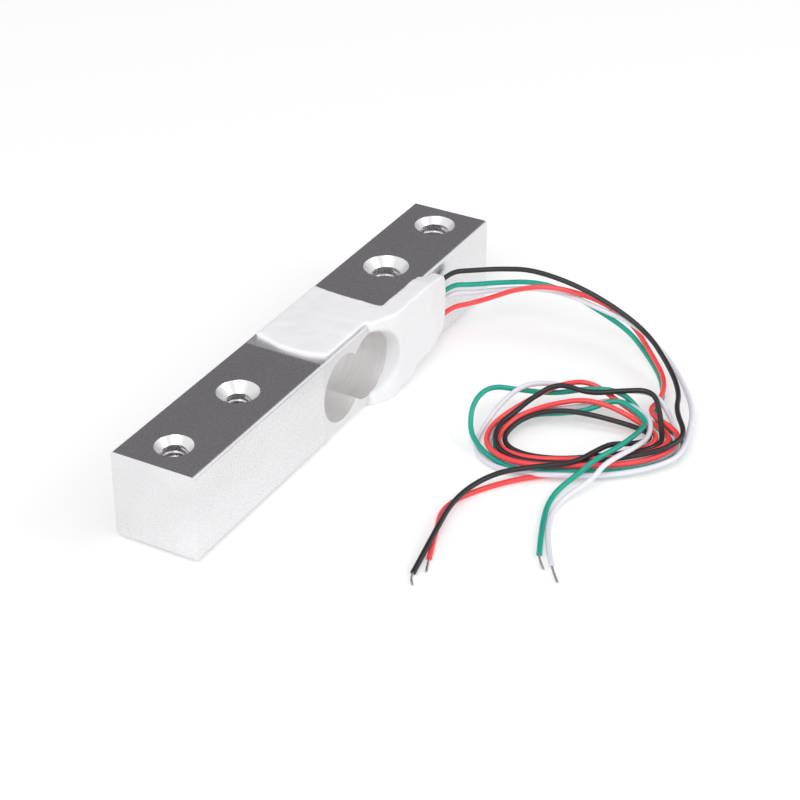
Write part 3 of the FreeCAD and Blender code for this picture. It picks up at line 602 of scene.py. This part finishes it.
# %% [markdown]
# ### Crossings
#
# Turns that a loop made cut into each other where they cross. Each line is sampled, and samples nearer than
# CLEAR push the points beside them apart, more in height than sideways, round after round. Only the turns'
# points move. Leads and tails keep their places, and a few close crossings are left.

# %% Sample a line
SHARES = (1 / 6, 3 / 6, 5 / 6)


def sampled(points):
    """Three places on each span of a smooth line, each with its three control points' weights."""
    weights = np.array([((1 - t) ** 2 / 2, (1 + 2 * t - 2 * t * t) / 2, t * t / 2) for t in SHARES])
    first = np.repeat(np.arange(len(points) - 2), len(SHARES))
    weights = np.tile(weights, (len(points) - 2, 1))
    places = sum(points[first + step] * weights[:, step:step + 1] for step in range(3))
    return places, first, weights


# %% Push the wires apart where they cross
CLEAR = 0.84
SAME_WIRE = 9  # samples along one wire that count as neighbours
UP_SHARE = 2.5
EASE = 0.35
LONGEST_MOVE = 0.15
ROUNDS = 300


def push_apart(routes, free, rounds):
    """Move the free points of each route away from other wires nearer than CLEAR, round by round."""
    routes = {name: np.array(route, dtype=float) for name, route in routes.items()}
    names = list(routes)
    for _ in range(rounds):
        parts = [sampled(routes[name]) for name in names]
        places = np.concatenate([part[0] for part in parts])
        owner = np.concatenate([np.full(len(part[0]), index) for index, part in enumerate(parts)])
        order = np.concatenate([np.arange(len(part[0])) for part in parts])
        apart = places[:, None] - places[None]
        distance = np.linalg.norm(apart, axis=2)
        other_wire = owner[:, None] != owner[None]
        far_along = abs(order[:, None] - order[None]) > SAME_WIRE
        near = (distance < CLEAR) & (other_wire | far_along)
        push = np.zeros_like(places)
        for one, other in np.argwhere(near):
            way = apart[one, other] * (1.0, 1.0, UP_SHARE)
            way = way / max(np.linalg.norm(way), 0.01)
            push[one] += way * (CLEAR - distance[one, other]) * EASE
        for index, name in enumerate(names):
            first, weights = parts[index][1:]
            change = np.zeros_like(routes[name])
            for step in range(3):
                np.add.at(change, first + step, push[owner == index] * weights[:, step:step + 1])
            start, end = free[name]
            change[:start] = 0
            change[end:] = 0
            routes[name] += np.clip(change, -LONGEST_MOVE, LONGEST_MOVE)
            middle = routes[name][start:end]
            middle[:, 2] = np.maximum(middle[:, 2], LOWEST)
    return routes


# %% Lay the routes
def lay_routes():
    """The points of all four wires, with their turns pushed apart."""
    routes, free = {}, {}
    for name in ("green", "white", "red", "black"):
        lead = [(EXIT_X, EXIT_Y, EXIT_Z[name]), (EXIT_X + 3.0, EXIT_Y, EXIT_Z[name])] + LEADS[name]
        middle = turns(name)
        routes[name] = lead + middle + TAILS[name]
        free[name] = (len(lead), len(lead) + len(middle))
    return push_apart(routes, free, ROUNDS)


routes = lay_routes()
print("route points:", sum(len(route) for route in routes.values()))

# %% [markdown]
# ### Wires and bare ends
#
# Insulation is a smooth round tube, and a curve with a round bevel is one without any mesh to model. Its
# points are a NURBS line's control points, so it bends smoothly between them. At its end, seven thin
# strands run on from it, twisted together and slightly parted at the tip.

# %% One wire
def wire_curve(name, points, diameter):
    """A round tube along a NURBS line."""
    curve = bpy.data.curves.new(name, "CURVE")
    curve.dimensions = "3D"
    spline = curve.splines.new("NURBS")
    spline.points.add(len(points) - 1)
    for control, point in zip(spline.points, points):
        control.co = (*[value * MM for value in point], 1)
    spline.order_u = 3
    spline.use_endpoint_u = True
    spline.resolution_u = 8
    curve.bevel_depth = diameter / 2
    curve.bevel_resolution = 4
    curve.use_fill_caps = True
    piece = bpy.data.objects.new(name, curve)
    scene.collection.objects.link(piece)
    return piece, spline


# %% One bare end
STRANDS = 7
STRAND_RADIUS = 0.055 * MM
STRAND_POINTS = 9
STRAND_RING = 0.10
STRAND_PARTING = 0.03
STRAND_TWIST = 3.4
STRAND_ABOVE_FLOOR = 0.06
STRAIGHT_END = 1.1


def bare_strands(name, start, inward, tip):
    """Seven thin strands, twisted and slightly parted at the tip, as one piece."""
    axis_points = [Vector(start), Vector(start) + Vector(inward) * STRAIGHT_END, Vector(tip)]
    curve = bpy.data.curves.new("strands_" + name, "CURVE")
    curve.dimensions = "3D"
    forward = (axis_points[2] - axis_points[0]).normalized()
    side = forward.cross(Vector((0, 0, 1))).normalized()
    up = side.cross(forward)
    for strand in range(STRANDS):
        spline = curve.splines.new("NURBS")
        spline.points.add(STRAND_POINTS - 1)
        for index in range(STRAND_POINTS):
            share = index / (STRAND_POINTS - 1)
            near, far = (axis_points[step].lerp(axis_points[step + 1], share) for step in (0, 1))
            centre = near.lerp(far, share)
            ring = 0.0 if strand == STRANDS - 1 else STRAND_RING + STRAND_PARTING * share
            angle = strand * math.pi / 3 + STRAND_TWIST * share
            place = centre + (side * math.cos(angle) + up * math.sin(angle)) * ring
            place.z = max(place.z, FLOOR_Z / MM + STRAND_ABOVE_FLOOR)
            spline.points[index].co = (*(place * MM), 1)
        spline.order_u = 3
        spline.use_endpoint_u = True
        spline.resolution_u = 3
    curve.bevel_depth = STRAND_RADIUS
    curve.bevel_resolution = 2
    curve.use_fill_caps = True
    piece = bpy.data.objects.new("strands_" + name, curve)
    scene.collection.objects.link(piece)
    select_only(piece)
    bpy.ops.object.convert(target="MESH")
    piece.data.materials.append(TINNED)
    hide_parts("bare_end_" + name)
    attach(piece, "root")
    return piece


# %% All four wires
for name, route in routes.items():
    wire, line = wire_curve("wire_" + name, route, WIRE_DIAMETER)
    wire.data.materials.append(WIRE_MATERIALS[name])
    onward = (Vector(TAILS[name][-1]) - Vector(TAILS[name][-2])).normalized()
    strands = bare_strands(name, TAILS[name][-1], onward, BARE_TIPS[name])
    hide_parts("lead_" + name, "tail_" + name)
    if name == "black":
        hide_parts("lead_coil")
    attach(wire, "root")

# %% [markdown]
# ## Stage, light and camera
#
# Metal looks like what it reflects, so the room matters more than the lamps. It is bright with one dim
# region opposite the camera, which the top of the bar reflects, and what the camera sees past the floor is
# plain white. The floor is pale and glows a little, so that it is nearly white but keeps a soft shadow.

# %% Floor
bpy.ops.mesh.primitive_plane_add(size=6, location=(LAND_MIDDLE, 0, FLOOR_Z - 0.02 * MM))
floor = bpy.context.object
floor.name = "floor"
paper, paper_nodes, paper_links = new_material("white_paper")
paper_shader = paper_nodes["Principled BSDF"]
paper_shader.inputs["Base Color"].default_value = (0.70, 0.70, 0.70, 1)
paper_shader.inputs["Roughness"].default_value = 0.9
paper_shader.inputs["Specular IOR Level"].default_value = 0.0
paper_shader.inputs["Emission Color"].default_value = (1, 1, 1, 1)
paper_shader.inputs["Emission Strength"].default_value = 0.30
floor.data.materials.append(paper)
print("floor at %.2f mm" % (floor.location.z / MM))

# %% Room
DIM_TOWARD = (0.743, 0.412, 0.527)
world = bpy.data.worlds.new("room")
scene.world = world
world.use_nodes = True
sky = world.node_tree.nodes
sky_links = world.node_tree.links
background = sky["Background"]
direction = sky.new("ShaderNodeTexCoord")
toward = sky.new("ShaderNodeVectorMath")
toward.operation = "DOT_PRODUCT"
sky_links.new(direction.outputs["Generated"], toward.inputs[0])
toward.inputs[1].default_value = DIM_TOWARD
dim = ranged(sky, sky_links, toward.outputs["Value"], 0.0, 1.0, 0.66, 0.86)
room = mix_colour(sky, sky_links, dim, (0.99, 0.99, 1.0), (0.166, 0.158, 0.170))
paths = sky.new("ShaderNodeLightPath")
seen = mix_colour(sky, sky_links, paths.outputs["Is Camera Ray"], room, (1.0, 1.0, 1.0))
sky_links.new(seen, background.inputs["Color"])
background.inputs["Strength"].default_value = 1.0


# %% Lamps
def lamp(name, place, aim, width, power):
    """A square area lamp that faces a point."""
    light = bpy.data.lights.new(name, "AREA")
    light.size = width
    light.energy = power
    shown = bpy.data.objects.new(name, light)
    scene.collection.objects.link(shown)
    shown.location = place
    shown.rotation_euler = (Vector(aim) - Vector(place)).to_track_quat("-Z", "Y").to_euler()


target = (LAND_MIDDLE, -0.015, 0.0)
lamp("softbox_left", (-0.35, -0.10, 0.42), target, 0.22, 0.7)
lamp("softbox_right", (0.10, -0.42, 0.34), target, 0.18, 0.4)

print("lamps:", len(bpy.data.lights))

# %% [markdown]
# ### Camera
#
# The camera looks down along the bar from beyond its load end. Its lens is fairly long, so that the far end
# doesn't look much smaller than the near one.

# %% Camera
CAMERA_PLACE = (-0.2481, -0.1359, 0.1612)
CAMERA_WAY = Vector((0.7428, 0.4124, -0.5274))
camera = bpy.data.cameras.new("camera")
camera.lens = 96.4
camera.sensor_width = 36.0
viewer = bpy.data.objects.new("camera", camera)
scene.collection.objects.link(viewer)
viewer.location = CAMERA_PLACE
viewer.rotation_euler = CAMERA_WAY.to_track_quat("-Z", "Y").to_euler()
scene.camera = viewer
scene.view_settings.view_transform = "Standard"
bar_middle = Vector((LAND_MIDDLE, 0, BAR_HEIGHT / 2))
print("camera %.0f mm from the bar's middle" % ((viewer.location - bar_middle).length / MM))
